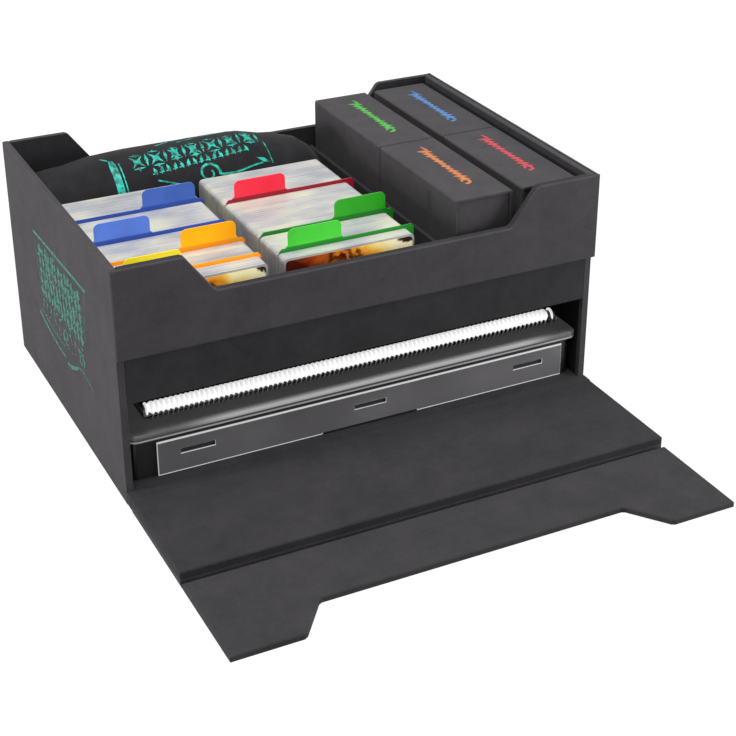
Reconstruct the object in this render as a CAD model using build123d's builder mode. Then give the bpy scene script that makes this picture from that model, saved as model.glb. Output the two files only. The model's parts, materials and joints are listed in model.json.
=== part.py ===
import math
import os

from build123d import *

os.makedirs("parts", exist_ok=True)

# Suede-wrapped board storage box: an upper tray of cards and deck boxes over a
# front compartment, closed by a folding front flap. Millimetres, +Z up, the
# origin on the table under the middle of the box, the flap towards -Y.

# box shell
box_width = 337.5
box_depth = 237.5
box_height = 161.5
wall = 4.8
front_board = 4.0
outer_board = 4.1
inner_board = 5.4
opening_top = 70.5
shelf_thickness = 4.0
seam_height = 101.0
band_proud = 1.5
band_overhang = 2.5
notch_mouth = 246.0
notch_floor = 207.0
notch_depth = 26.0
notch_bevel = 1.5
edge_bevel = 0.8

# tray partitions
partition_thickness = 3.0
partition_height = 46.5
deck_bay_width = 97.2
card_bay_width = 104.0

# folding flap
hinge_clearance = 0.4
spine_thickness = 1.0
panel_length = 85.3
crease_gap = 3.2
crease_strip_thickness = 1.0
tip_length = 73.7

# bar magnets sealed in the boards
magnet_length = 20.0
magnet_height = 8.0
magnet_thickness = 1.8
magnet_clearance = 0.2
magnet_from_edge = 22.5
magnet_from_top = 12.5

# drawer
drawer_setback = 9.5
drawer_side_gap = 2.4
drawer_height = 31.5
drawer_wall = 2.0
drawer_back_gap = 4.5
running_gap = 0.3
lid_thickness = 3.2
lid_overhang = 2.0
lid_front_overhang = 6.0
lid_lip_height = 2.0
lid_lip_thickness = 1.6
lid_corner_radius = 6.0
lid_bevel = 1.0
plate_left_margin = 16.8
plate_right_margin = 7.6
plate_height = 24.5
plate_thickness = 2.0
plate_bevel = 0.5
plate_slot_length = 23.5
plate_slot_height = 3.6
plate_slot_margin = 15.6
plate_slot_rise = 14.5
finger_notch_width = 70.0
finger_notch_depth = 1.0

# spiral-bound album
album_left_gap = 15.7
album_right_gap = 9.2
album_back_gap = 8.2
cover_thickness = 1.0
pages_thickness = 5.4
coil_setback = 21.0
coil_turns = 44
coil_end_margin = 1.0
coil_outer_diameter = 10.6
coil_wire = 0.9
page_margin = 1.5
binding_hole_width = 3.4
binding_hole_clearance = 0.5
album_corner_radius = 5.0

# rolled mat
mat_thickness = 2.4
mat_turn_pitch = 3.2
mat_half_turns = 9
mat_stretch = 9.6
mat_end_gap = 2.2
mat_front_gap = 0.6

# sleeved cards and index dividers
card_height = 66.0
seat_gap = 0.2
stack_gap = 0.4
card_front_gap = 8.3
left_cards_left_gap = 8.2
left_cards_right_gap = 3.8
left_dividers_left_gap = 5.7
left_dividers_right_gap = 3.3
right_cards_left_gap = 3.6
right_cards_right_gap = 25.1
right_dividers_left_gap = 5.2
right_dividers_right_gap = 20.5
left_stacks = (35.2, 38.5, 30.9, 24.1, 12.4)
right_stacks = (47.5, 58.2, 27.5, 9.5)
divider_rise = 1.2
divider_thickness = 0.8
tab_width = 37.0
tab_height = 12.8
tab_inset = 6.0
tab_round = 4.0
shoulder_bevel = 1.8

# deck boxes
deck_height = 82.6
deck_wall = 1.8
deck_cover_board = 2.2
deck_fit = 0.3
deck_end_inset = 1.0
deck_column_gap = 7.0
deck_left_gap = 1.0
deck_right_gap = 3.2
deck_front_gap = 6.3
deck_back_gap = 3.4
deck_row_gap = 1.0
deck_edge_round = 1.6

# places worked out from the sizes
half_width = box_width / 2
front_y = -box_depth / 2
back_y = box_depth / 2
inner_half_width = half_width - wall
inner_front_y = front_y + front_board
inner_back_y = back_y - wall
floor_top = outer_board + inner_board
flap_thickness = floor_top
shelf_top = opening_top + shelf_thickness
tray_depth = inner_back_y - inner_front_y
deck_partition_x = inner_half_width - deck_bay_width - partition_thickness / 2
card_partition_x = -inner_half_width + card_bay_width + partition_thickness / 2


def column_length(stacks):
    """Length of a column of card stacks with a divider between each two."""
    return sum(stacks) + (len(stacks) - 1) * (divider_thickness + 2 * stack_gap)


card_partition_length = card_front_gap + max(column_length(left_stacks), column_length(right_stacks))
card_column_back_y = inner_front_y + card_partition_length


def notched_face(left, right, low, high):
    """Board outline whose high side is cut down between its corners."""
    Polygon(
        (left, low),
        (right, low),
        (right, high),
        (notch_mouth / 2, high),
        (notch_floor / 2, high - notch_depth),
        (-notch_floor / 2, high - notch_depth),
        (-notch_mouth / 2, high),
        (left, high),
        align=None,
    )


def notch_corners(sketch):
    return sketch.vertices().filter_by(lambda v: abs(v.X) < notch_mouth / 2 + edge_bevel)


def export(piece, name):
    piece.part.label = name
    export_step(piece.part, f"parts/{name}.step")


# ---- box shell ----

with BuildPart() as base_board:
    with BuildSketch(Plane.XY):
        with Locations((0, -wall / 2)):
            Rectangle(2 * inner_half_width, box_depth - wall)
    extrude(amount=outer_board)
export(base_board, "base_board")

with BuildPart() as floor_board:
    with BuildSketch(Plane.XY.offset(outer_board)):
        with Locations((0, -wall / 2)):
            Rectangle(2 * inner_half_width, box_depth - wall)
    extrude(amount=inner_board)
    chamfer(floor_board.faces().sort_by(Axis.Z)[-1].edges().sort_by(Axis.Y)[0], edge_bevel)
export(floor_board, "floor_board")


def side_wall(side, name):
    with BuildPart() as board:
        with BuildSketch(Plane.YZ.offset(side * half_width)):
            with Locations((0, box_height / 2)):
                Rectangle(box_depth, box_height)
        extrude(amount=-side * wall)
        chamfer(board.faces().sort_by(Axis.Z)[-1].edges(), edge_bevel)
    export(board, name)


side_wall(-1, "left_wall")
side_wall(1, "right_wall")

with BuildPart() as back_wall:
    with BuildSketch(Plane.XZ.offset(-back_y)) as outline:
        notched_face(-inner_half_width, inner_half_width, 0, box_height)
        chamfer(notch_corners(outline), notch_bevel)
    extrude(amount=wall)
    chamfer(back_wall.faces().sort_by(Axis.Y)[-1].edges().filter_by(
        lambda e: e.center().Z > box_height - notch_depth - wall), edge_bevel)
export(back_wall, "back_wall")

magnet_x = half_width - magnet_from_edge
magnet_z = box_height - magnet_from_top
magnet_pocket = magnet_thickness + 2 * magnet_clearance
wall_magnet_y = front_y + front_board / 2

with BuildPart() as front_wall:
    with BuildSketch(Plane.XZ.offset(-inner_front_y)) as outline:
        notched_face(-inner_half_width, inner_half_width, opening_top, box_height)
        chamfer(notch_corners(outline), notch_bevel)
    extrude(amount=front_board)
    with BuildSketch(Plane.XZ.offset(-wall_magnet_y)):
        with Locations((-magnet_x, magnet_z), (magnet_x, magnet_z)):
            Rectangle(magnet_length + 2 * magnet_clearance, magnet_height + 2 * magnet_clearance)
    extrude(amount=magnet_pocket / 2, both=True, mode=Mode.SUBTRACT)
export(front_wall, "front_wall")

with BuildPart() as wall_magnets:
    with BuildSketch(Plane.XZ.offset(-wall_magnet_y)):
        with Locations((-magnet_x, magnet_z), (magnet_x, magnet_z)):
            Rectangle(magnet_length, magnet_height)
    extrude(amount=magnet_thickness / 2, both=True)
export(wall_magnets, "wall_magnets")

with BuildPart() as front_band:
    with BuildSketch(Plane.XZ.offset(-front_y)) as outline:
        notched_face(-half_width, half_width + band_overhang, seam_height, box_height)
        chamfer(notch_corners(outline), notch_bevel)
    extrude(amount=band_proud)
    chamfer(front_band.faces().sort_by(Axis.Y)[0].edges(), edge_bevel)
export(front_band, "front_band")

with BuildPart() as right_band:
    with BuildSketch(Plane.YZ.offset(half_width)):
        with Locations((0, (seam_height + box_height) / 2)):
            Rectangle(box_depth, box_height - seam_height)
    extrude(amount=band_overhang)
    chamfer(right_band.faces().sort_by(Axis.X)[-1].edges().sort_by(Axis.Y)[1:], edge_bevel)
export(right_band, "right_band")

with BuildPart() as mid_shelf:
    with BuildSketch(Plane.XY.offset(opening_top)):
        with Locations((0, (inner_front_y + inner_back_y) / 2)):
            Rectangle(2 * inner_half_width, tray_depth)
    extrude(amount=shelf_thickness)
export(mid_shelf, "mid_shelf")

# ---- tray partitions ----

with BuildPart() as deck_partition:
    with BuildSketch(Plane.XY.offset(shelf_top)):
        with Locations((deck_partition_x, (inner_front_y + inner_back_y) / 2)):
            Rectangle(partition_thickness, tray_depth)
    extrude(amount=partition_height)
    chamfer(deck_partition.faces().sort_by(Axis.Z)[-1].edges().filter_by(Axis.Y), edge_bevel)
export(deck_partition, "deck_partition")

with BuildPart() as card_partition:
    with BuildSketch(Plane.XY.offset(shelf_top)):
        with Locations((card_partition_x, inner_front_y + card_partition_length / 2)):
            Rectangle(partition_thickness, card_partition_length)
    extrude(amount=partition_height)
    chamfer(card_partition.faces().sort_by(Axis.Z)[-1].edges().filter_by(Axis.Y), edge_bevel)
export(card_partition, "card_partition")

# ---- folding flap: fabric spine, two-board panel, one-board tip ----

spine_width = flap_thickness - spine_thickness + hinge_clearance
panel_back_y = front_y - spine_width
panel_front_y = panel_back_y - panel_length
tip_back_y = panel_front_y - crease_gap
tip_front_y = tip_back_y - tip_length
floor_facing_plane = Plane((0, 0, 0), x_dir=(1, 0, 0), z_dir=(0, 0, -1))

with BuildPart() as hinge_spine:
    with BuildSketch(Plane.XY.offset(flap_thickness - spine_thickness)):
        with Locations((0, front_y - spine_width / 2)):
            Rectangle(box_width, spine_width - 2 * hinge_clearance)
    extrude(amount=spine_thickness)
export(hinge_spine, "hinge_spine")

with BuildPart() as flap_outer_board:
    with BuildSketch(Plane.XY):
        with Locations((0, (panel_back_y + panel_front_y) / 2)):
            Rectangle(box_width, panel_length)
    extrude(amount=outer_board)
export(flap_outer_board, "flap_outer_board")

with BuildPart() as flap_inner_board:
    with BuildSketch(Plane.XY.offset(outer_board)):
        with Locations((0, (panel_back_y + panel_front_y) / 2)):
            Rectangle(box_width, panel_length)
    extrude(amount=inner_board)
    chamfer(flap_inner_board.faces().sort_by(Axis.Z)[-1].edges().sort_by(Axis.Y)[:-1], edge_bevel)
export(flap_inner_board, "flap_inner_board")

with BuildPart() as crease_strip:
    with BuildSketch(Plane.XY):
        with Locations((0, panel_front_y - (crease_gap - hinge_clearance) / 2)):
            Rectangle(box_width, crease_gap - hinge_clearance)
    extrude(amount=crease_strip_thickness)
export(crease_strip, "crease_strip")

tip_magnet_y = tip_front_y + magnet_from_top
with BuildPart() as flap_tip:
    with BuildSketch(floor_facing_plane.offset(-outer_board)) as outline:
        notched_face(-half_width, half_width, -tip_back_y, -tip_front_y)
        chamfer(notch_corners(outline), notch_bevel)
    extrude(amount=outer_board)
    chamfer(flap_tip.faces().sort_by(Axis.Z)[-1].edges(), edge_bevel)
    with BuildSketch(Plane.XY.offset(outer_board / 2)):
        with Locations((-magnet_x, tip_magnet_y), (magnet_x, tip_magnet_y)):
            Rectangle(magnet_length + 2 * magnet_clearance, magnet_height + 2 * magnet_clearance)
    extrude(amount=magnet_pocket / 2, both=True, mode=Mode.SUBTRACT)
export(flap_tip, "flap_tip")

with BuildPart() as tip_magnets:
    with BuildSketch(Plane.XY.offset(outer_board / 2)):
        with Locations((-magnet_x, tip_magnet_y), (magnet_x, tip_magnet_y)):
            Rectangle(magnet_length, magnet_height)
    extrude(amount=magnet_thickness / 2, both=True)
export(tip_magnets, "tip_magnets")

# ---- drawer: tray, lid and clear front plate ----

drawer_width = 2 * (inner_half_width - drawer_side_gap)
drawer_front_y = front_y + drawer_setback
drawer_back_y = inner_back_y - drawer_back_gap
drawer_depth = drawer_back_y - drawer_front_y
drawer_y = (drawer_front_y + drawer_back_y) / 2
drawer_bottom = floor_top + running_gap
drawer_top = drawer_bottom + drawer_height
plate_width = drawer_width - plate_left_margin - plate_right_margin
plate_x = (plate_left_margin - plate_right_margin) / 2
plate_slot_spacing = (plate_width - plate_slot_length) / 2 - plate_slot_margin

with BuildPart() as drawer_tray:
    with BuildSketch(Plane.XY.offset(drawer_bottom)):
        with Locations((0, drawer_y)):
            RectangleRounded(drawer_width, drawer_depth, lid_corner_radius - lid_overhang)
    extrude(amount=drawer_height)
    offset(amount=-drawer_wall, openings=drawer_tray.faces().sort_by(Axis.Z)[-1])
export(drawer_tray, "drawer_tray")

lid_width = drawer_width + 2 * lid_overhang
lid_depth = drawer_depth + lid_front_overhang + lid_overhang
lid_y = drawer_y - (lid_front_overhang - lid_overhang) / 2
with BuildPart() as drawer_lid:
    with BuildSketch(Plane.XY.offset(drawer_top)):
        with Locations((0, lid_y)):
            RectangleRounded(lid_width, lid_depth, lid_corner_radius)
    extrude(amount=lid_thickness)
    chamfer(drawer_lid.faces().sort_by(Axis.Z)[-1].edges(), lid_bevel)
    with BuildSketch(Plane.XY.offset(drawer_top)):
        with Locations((0, drawer_y)):
            lip_gap = 2 * (drawer_wall + running_gap)
            Rectangle(drawer_width - lip_gap - lid_corner_radius,
                      drawer_depth - lip_gap - lid_corner_radius)
            Rectangle(drawer_width - lip_gap - lid_corner_radius - 2 * lid_lip_thickness,
                      drawer_depth - lip_gap - lid_corner_radius - 2 * lid_lip_thickness,
                      mode=Mode.SUBTRACT)
    extrude(amount=-lid_lip_height)
export(drawer_lid, "drawer_lid")

with BuildPart() as drawer_front_plate:
    with BuildSketch(Plane.XZ.offset(-drawer_front_y)):
        with Locations((plate_x, drawer_bottom + plate_height / 2)):
            Rectangle(plate_width, plate_height)
        with Locations((plate_x, drawer_bottom + plate_slot_rise)):
            with GridLocations(plate_slot_spacing, 0, 3, 1):
                Rectangle(plate_slot_length, plate_slot_height, mode=Mode.SUBTRACT)
        with Locations((plate_x, drawer_bottom)):
            Rectangle(finger_notch_width, 2 * finger_notch_depth, mode=Mode.SUBTRACT)
    extrude(amount=plate_thickness)
    chamfer(drawer_front_plate.faces().sort_by(Axis.Y)[0].outer_wire().edges(),
            plate_bevel)
export(drawer_front_plate, "drawer_front_plate")

# ---- spiral-bound album on the drawer lid ----

lid_top = drawer_top + lid_thickness
album_length = 2 * inner_half_width - album_left_gap - album_right_gap
album_x = (album_left_gap - album_right_gap) / 2
coil_radius = (coil_outer_diameter - coil_wire) / 2
coil_length = album_length - 2 * coil_end_margin
coil_pitch = coil_length / coil_turns
coil_y = front_y + coil_setback
coil_z = lid_top + running_gap + coil_outer_diameter / 2
coil_start_x = album_x - coil_length / 2
album_bottom = coil_z - pages_thickness / 2 - cover_thickness
page_edge_y = coil_y - page_margin
album_back_y = inner_back_y - album_back_gap
album_depth = album_back_y - page_edge_y
hole_front_y = coil_y + page_margin
hole_back_y = coil_y + coil_outer_diameter / 2 + binding_hole_clearance


def helix_point(turn):
    angle = 2 * math.pi * turn
    return Vector(coil_start_x + coil_pitch * turn,
                  coil_y - coil_radius * math.cos(angle),
                  coil_z + coil_radius * math.sin(angle))


def helix_tangent(turn):
    angle = 2 * math.pi * turn
    around = 2 * math.pi * coil_radius
    return Vector(coil_pitch, around * math.sin(angle), around * math.cos(angle)).normalized()


def biarc(turn_a, turn_b):
    """Two arcs that leave and reach the helix along its own tangents."""
    a, b = helix_point(turn_a), helix_point(turn_b)
    leave, reach = helix_tangent(turn_a), helix_tangent(turn_b)
    chord = b - a
    spread = 2 * (1 - leave.dot(reach))
    along = chord.dot(leave + reach)
    arm = (math.sqrt(along * along + spread * chord.dot(chord)) - along) / spread
    middle = (a + b + (leave - reach) * arm) / 2
    TangentArc(a, middle, tangent=leave)
    TangentArc(middle, b, tangent=(middle - (b - reach * arm)) * -1)


with BuildPart() as album_coil:
    with BuildLine() as coil_path:
        for half_turn in range(2 * coil_turns):
            biarc(half_turn / 2, (half_turn + 1) / 2)
    with BuildSketch(Plane(helix_point(0), z_dir=helix_tangent(0))):
        RegularPolygon(coil_wire / 2, side_count=3)
    sweep(clean=False)
export(album_coil, "album_coil")

samples_per_turn = 24
curl = [helix_point(n / samples_per_turn) for n in range(samples_per_turn)]
curl_beside = [helix_point(0.5 + n / samples_per_turn) for n in range(2 * samples_per_turn)]
coil_gap = min((p - q).length for i, p in enumerate(curl) for q in curl_beside[i:])
print("coil: least gap between curls", round(coil_gap - coil_wire, 2), "mm")


def album_leaf(low, thickness, name):
    """A cover or the block of pages, with a hole for each curl of the coil."""
    with BuildPart() as leaf:
        with BuildSketch(Plane.XY.offset(low)) as sheet:
            with Locations((album_x, (page_edge_y + album_back_y) / 2)):
                Rectangle(album_length, album_depth)
            fillet(sheet.vertices().sort_by(Axis.Y)[-2:], album_corner_radius)
            with Locations((album_x, (hole_front_y + hole_back_y) / 2)):
                with GridLocations(coil_pitch, 0, coil_turns, 1):
                    Rectangle(binding_hole_width, hole_back_y - hole_front_y, mode=Mode.SUBTRACT)
        extrude(amount=thickness)
    export(leaf, name)


pages_bottom = album_bottom + cover_thickness
pages_top = pages_bottom + pages_thickness
album_leaf(album_bottom, cover_thickness, "album_back_cover")
album_leaf(pages_bottom, pages_thickness, "album_pages")
album_leaf(pages_top, cover_thickness, "album_front_cover")

# ---- rolled mat behind the cards: a sheet wound in half turns ----

deck_partition_left = deck_partition_x - partition_thickness / 2
mat_left = -inner_half_width + mat_end_gap
mat_right = deck_partition_left - mat_end_gap
mat_back_y = inner_back_y - running_gap
mat_radius = (mat_back_y - mat_front_gap - card_column_back_y) / 2
mat_y = mat_back_y - mat_radius
mat_step = mat_turn_pitch / 2
mat_z = shelf_top + running_gap + mat_radius - mat_step + mat_stretch / 2


def mat_edge(start_radius):
    """One face of the sheet from its outer end inwards, returned as its two ends.

    Upper halves turn about one centre and lower halves about another one step
    nearer the front, so that each half turn starts where the last one ended.
    """
    start = end = None
    for index in range(mat_half_turns):
        upper = index % 2 == 0
        side = 1 if upper else -1
        y = mat_y if upper else mat_y - mat_step
        z = mat_z + side * mat_stretch / 2
        radius = start_radius - index * mat_step
        if end is None:
            start = (y + side * radius, z)
        else:
            Line(end, (y + side * radius, z))
        end = (y - side * radius, z)
        ThreePointArc((y + side * radius, z), (y, z + side * radius), end)
    return start, end


with BuildPart() as mat_roll:
    with BuildSketch(Plane.YZ.offset(mat_left)):
        with BuildLine():
            outer_start, outer_end = mat_edge(mat_radius)
            inner_start, inner_end = mat_edge(mat_radius - mat_thickness)
            Line(outer_start, inner_start)
            Line(outer_end, inner_end)
        make_face()
    extrude(amount=mat_right - mat_left)
export(mat_roll, "mat_roll")
print("mat: gap between turns", round(mat_turn_pitch - mat_thickness, 2), "mm")

# ---- sleeved cards and index dividers ----


def card_stack(left, right, back, thickness, name):
    with BuildPart() as stack:
        with BuildSketch(Plane.XZ.offset(-back)):
            with Locations(((left + right) / 2, shelf_top + seat_gap + card_height / 2)):
                Rectangle(right - left, card_height)
        extrude(amount=thickness)
    export(stack, name)


def index_divider(left, right, back, tab_side, name):
    """A thin sheet a little taller than the cards, with one tab that stands up."""
    x = (left + right) / 2
    tab_x = x + tab_side * ((right - left) / 2 - tab_inset - tab_width / 2)
    sheet_height = card_height + divider_rise
    sheet_bottom = shelf_top + seat_gap
    with BuildPart() as divider:
        with BuildSketch(Plane.XZ.offset(-back)) as sheet:
            with Locations((x, sheet_bottom + sheet_height / 2)):
                Rectangle(right - left, sheet_height)
            with Locations((tab_x, sheet_bottom + sheet_height)):
                Rectangle(tab_width, 2 * tab_height)
            chamfer(sheet.vertices().group_by(Axis.Y)[1], shoulder_bevel)
            fillet(sheet.vertices().group_by(Axis.Y)[-1], tab_round)
        extrude(amount=divider_thickness)
    export(divider, name)


def card_column(card_edges, divider_edges, stacks, first_tab_side, column):
    """Card stacks from the back to the front with a divider before each but the last."""
    back = card_column_back_y
    tab_side = first_tab_side
    for number, thickness in enumerate(stacks, start=1):
        card_stack(*card_edges, back, thickness, f"{column}_cards_{number}")
        back -= thickness + stack_gap
        if number < len(stacks):
            index_divider(*divider_edges, back, tab_side, f"{column}_divider_{number}")
            back -= divider_thickness + stack_gap
            tab_side = -tab_side


left_bay = (-inner_half_width, card_partition_x - partition_thickness / 2)
right_bay = (card_partition_x + partition_thickness / 2, deck_partition_left)
card_column((left_bay[0] + left_cards_left_gap, left_bay[1] - left_cards_right_gap),
            (left_bay[0] + left_dividers_left_gap, left_bay[1] - left_dividers_right_gap),
            left_stacks, 1, "left")
card_column((right_bay[0] + right_cards_left_gap, right_bay[1] - right_cards_right_gap),
            (right_bay[0] + right_dividers_left_gap, right_bay[1] - right_dividers_right_gap),
            right_stacks, -1, "right")

# ---- deck boxes: open inner box under a lift-off wrap cover ----

deck_bottom = shelf_top + seat_gap
deck_bay_left = deck_partition_x + partition_thickness / 2
deck_width = (deck_bay_width - deck_left_gap - deck_column_gap - deck_right_gap) / 2
deck_length = (tray_depth - deck_front_gap - deck_row_gap - deck_back_gap) / 2
deck_left_x = deck_bay_left + deck_left_gap + deck_width / 2
deck_right_x = deck_left_x + deck_width + deck_column_gap
deck_front_row_y = inner_front_y + deck_front_gap + deck_length / 2
deck_back_row_y = deck_front_row_y + deck_length + deck_row_gap


def deck_box(x, y, name):
    body_width = deck_width - 2 * (deck_cover_board + deck_fit)
    body_length = deck_length - 2 * deck_end_inset
    body_height = deck_height - deck_cover_board - deck_fit
    with BuildPart() as body:
        with BuildSketch(Plane.XY.offset(deck_bottom)):
            with Locations((x, y)):
                Rectangle(body_width, body_length)
        extrude(amount=body_height)
        offset(amount=-deck_wall, openings=body.faces().sort_by(Axis.Z)[-1])
    export(body, f"{name}_body")
    with BuildPart() as cover:
        with BuildSketch(Plane.XZ.offset(-(y + deck_length / 2))) as section:
            with Locations((x, deck_bottom + deck_height / 2)):
                Rectangle(deck_width, deck_height)
            fillet(section.vertices().group_by(Axis.Y)[-1], deck_edge_round)
            with Locations((x, deck_bottom + (deck_height - deck_cover_board) / 2)):
                Rectangle(deck_width - 2 * deck_cover_board, deck_height - deck_cover_board,
                          mode=Mode.SUBTRACT)
        extrude(amount=deck_length)
    export(cover, f"{name}_cover")


deck_box(deck_left_x, deck_back_row_y, "green_deck")
deck_box(deck_left_x, deck_front_row_y, "orange_deck")
deck_box(deck_right_x, deck_back_row_y, "blue_deck")
deck_box(deck_right_x, deck_front_row_y, "red_deck")
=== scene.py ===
import json
import math
import random

import bmesh
import bpy
from mathutils import Euler, Matrix, Vector

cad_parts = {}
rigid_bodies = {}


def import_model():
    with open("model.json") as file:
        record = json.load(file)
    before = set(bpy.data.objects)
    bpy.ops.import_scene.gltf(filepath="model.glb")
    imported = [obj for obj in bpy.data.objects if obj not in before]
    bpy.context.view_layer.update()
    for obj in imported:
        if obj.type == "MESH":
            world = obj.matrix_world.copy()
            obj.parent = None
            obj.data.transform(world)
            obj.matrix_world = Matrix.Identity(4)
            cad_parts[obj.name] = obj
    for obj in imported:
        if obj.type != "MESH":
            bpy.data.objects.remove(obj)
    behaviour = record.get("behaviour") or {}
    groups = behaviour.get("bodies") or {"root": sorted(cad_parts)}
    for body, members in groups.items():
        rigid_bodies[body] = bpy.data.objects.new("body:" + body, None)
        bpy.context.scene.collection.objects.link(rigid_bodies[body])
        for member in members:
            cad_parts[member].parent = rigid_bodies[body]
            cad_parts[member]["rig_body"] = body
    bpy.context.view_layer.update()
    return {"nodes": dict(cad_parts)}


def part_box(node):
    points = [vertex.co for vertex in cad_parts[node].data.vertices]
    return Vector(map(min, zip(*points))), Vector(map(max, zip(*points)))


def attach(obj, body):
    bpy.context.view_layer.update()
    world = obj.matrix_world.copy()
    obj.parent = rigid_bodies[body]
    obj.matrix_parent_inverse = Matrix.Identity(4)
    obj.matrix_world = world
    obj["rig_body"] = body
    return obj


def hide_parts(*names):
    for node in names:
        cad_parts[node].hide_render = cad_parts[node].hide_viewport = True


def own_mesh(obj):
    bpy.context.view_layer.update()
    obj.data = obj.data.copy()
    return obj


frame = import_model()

mm = 0.001
nodes = frame["nodes"]
print("frame loaded:", len(nodes), "nodes")


# shared helpers

def toLinear(colour):
    # sRGB hex as written, linear as the shaders take it
    channels = [int(colour[i:i + 2], 16) / 255 for i in (1, 3, 5)]
    return [c / 12.92 if c <= 0.04045 else ((c + 0.055) / 1.055) ** 2.4 for c in channels] + [1]


def setInput(tree, socket, value):
    # a socket takes a link, a colour as hex, or a plain value
    if isinstance(value, bpy.types.NodeSocket):
        tree.links.new(value, socket)
    else:
        socket.default_value = toLinear(value) if isinstance(value, str) else value


def addNode(material, kind, inputs=None, stops=None, **settings):
    # one shader node with its settings, its inputs, and a ramp's stops
    tree = material.node_tree
    node = tree.nodes.new("ShaderNode" + kind)
    for key, value in settings.items():
        setattr(node, key, value)
    for key, value in (inputs or {}).items():
        setInput(tree, node.inputs[key], value)
    if stops:
        elements = node.color_ramp.elements
        while len(elements) < len(stops):
            elements.new(0.5)
        for element, (place, colour) in zip(elements, stops):
            element.position = place
            element.color = toLinear(colour)
    return node


def surfaceOf(material):
    return material.node_tree.nodes["Principled BSDF"]


def feed(material, socket, value):
    setInput(material.node_tree, surfaceOf(material).inputs[socket], value)


def newMaterial(name, values):
    # a principled surface with plain values on its own sockets
    material = bpy.data.materials.new(name)
    material.use_nodes = True
    for socket, value in values.items():
        feed(material, socket, value)
    return material


def placeAlong(material, axis):
    # the place on the object, along one of its axes
    place = addNode(material, "TexCoord").outputs["Object"]
    return addNode(material, "SeparateXYZ", {0: place}).outputs[axis]


def maskAlong(material, axis, low, high):
    # a soft step from 0 to 1 between two places
    return addNode(material, "MapRange", {"Value": placeAlong(material, axis), 1: low, 2: high},
                   interpolation_type="SMOOTHSTEP").outputs[0]


def isBeyond(material, axis, middle, reach):
    # 1 further than reach from the middle, else 0
    offset = addNode(material, "Math", {0: placeAlong(material, axis), 1: middle}, operation="SUBTRACT")
    away = addNode(material, "Math", {0: offset.outputs[0]}, operation="ABSOLUTE")
    return addNode(material, "Math", {0: away.outputs[0], 1: reach}, operation="GREATER_THAN").outputs[0]


def makeClouded(name, values, dark, light, cloud, ripple=0.0, span=(0.35, 0.65)):
    # the tone drifts in soft clouds, and a moulded sheet ripples a little with them
    material = newMaterial(name, values)
    clouds = addNode(material, "TexNoise", {
        "Vector": addNode(material, "TexCoord").outputs["Object"],
        "Scale": 1 / (cloud * mm), "Detail": 3.0}).outputs["Fac"]
    shade = addNode(material, "ValToRGB", {"Fac": clouds}, list(zip(span, (dark, light))))
    feed(material, "Base Color", shade.outputs["Color"])
    if ripple:
        bump = addNode(material, "Bump", {"Height": clouds, "Strength": ripple, "Distance": 0.4 * mm})
        feed(material, "Normal", bump.outputs["Normal"])
    return material


def addObject(name, data, body=None):
    # an object at the origin that rides on its body
    piece = bpy.data.objects.new(name, data)
    bpy.context.scene.collection.objects.link(piece)
    if body:
        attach(piece, body)
    return piece


def newPiece(name, bm, material, body, smooth=False):
    # a finished bmesh becomes a mesh object
    mesh = bpy.data.meshes.new(name)
    bm.to_mesh(mesh)
    bm.free()
    mesh.materials.append(material)
    for face in mesh.polygons:
        face.use_smooth = smooth
    return addObject(name, mesh, body)


def newFilament(name, points, radius, resolution, material, body):
    # a round filament; each point is a place and how much the filament swells there
    curve = bpy.data.curves.new(name, "CURVE")
    curve.dimensions = "3D"
    curve.bevel_depth = radius
    curve.bevel_resolution = resolution
    curve.use_fill_caps = True
    spline = curve.splines.new("POLY")
    spline.points.add(len(points) - 1)
    for point, (place, swell) in zip(spline.points, points):
        point.co = (*place, 1)
        point.radius = swell
    curve.materials.append(material)
    return addObject(name, curve, body)


def bodyOf(node):
    return nodes[node]["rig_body"]


def addBox(bm, centre, size):
    matrix = Matrix.Translation(centre) @ Matrix.Diagonal((*size, 1))
    return bmesh.ops.create_cube(bm, size=1, matrix=matrix)["verts"]


def roundOff(bm, geom, radius, segments, affect="EDGES"):
    bmesh.ops.bevel(bm, geom=geom, offset=radius * mm, segments=segments, profile=0.5,
                    affect=affect, material=-1)


def vertsOf(geom):
    return [part for part in geom if isinstance(part, bmesh.types.BMVert)]


def edgesOf(geom):
    return [part for part in geom if isinstance(part, bmesh.types.BMEdge)]


def riseShare(value, start, length):
    return min(max((value - start) / length, 0), 1)


def smoothStep(value, low, high):
    share = riseShare(value, low, high - low)
    return share * share * (3 - 2 * share)


# wrapped board: microfibre suede, a short nap that shades in brushed patches

suede = {
    "patch": 26.0,  # brushed patches, mm
    "smudge": 7.0,  # finger marks inside a patch, mm
    "nap": 0.9,  # nap tufts, drawn coarse enough to show, mm
    "napDepth": 0.25,
    "smudgeShare": 0.35,  # what the smudges and the nap take of the shading
    "napShare": 0.3,
    "span": (0.36, 0.64),  # the part of the noise that runs from dark to light
    "margin": 0.3,  # the lining reaches this far past the shelf, mm
}


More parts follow.
